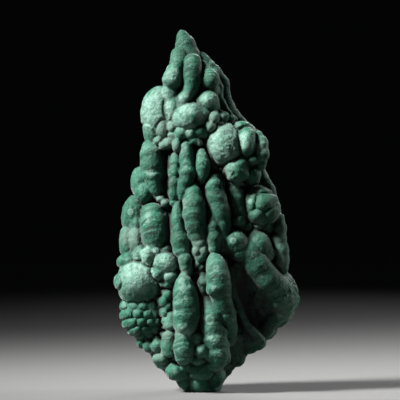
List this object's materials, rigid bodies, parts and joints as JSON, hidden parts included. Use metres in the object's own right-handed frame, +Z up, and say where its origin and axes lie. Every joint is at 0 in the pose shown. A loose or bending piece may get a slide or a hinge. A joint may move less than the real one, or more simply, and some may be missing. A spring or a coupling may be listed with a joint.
{
  "type": "malachite specimen",
  "caption": "Upright natural malachite specimen: one grown mass of hanging banded fingers and rounded lobes, standing on its flat broken base.",
  "frame": {"origin": "middle of the flat broken base, on the surface it stands on", "axes": "+Z up along the growth to its pointed tip, -Y out of the front, where the fingers hang, +X to the right across the growth seen from the front"},
  "size_m": [0.0727, 0.0438, 0.1437],
  "materials": {
    "malachite": "dull velvety natural crust, pale on the swells, deep green in the growth bands and creases"
  },
  "bodies": {
    "root": {"specimen": "malachite"}
  },
  "joints": []
}
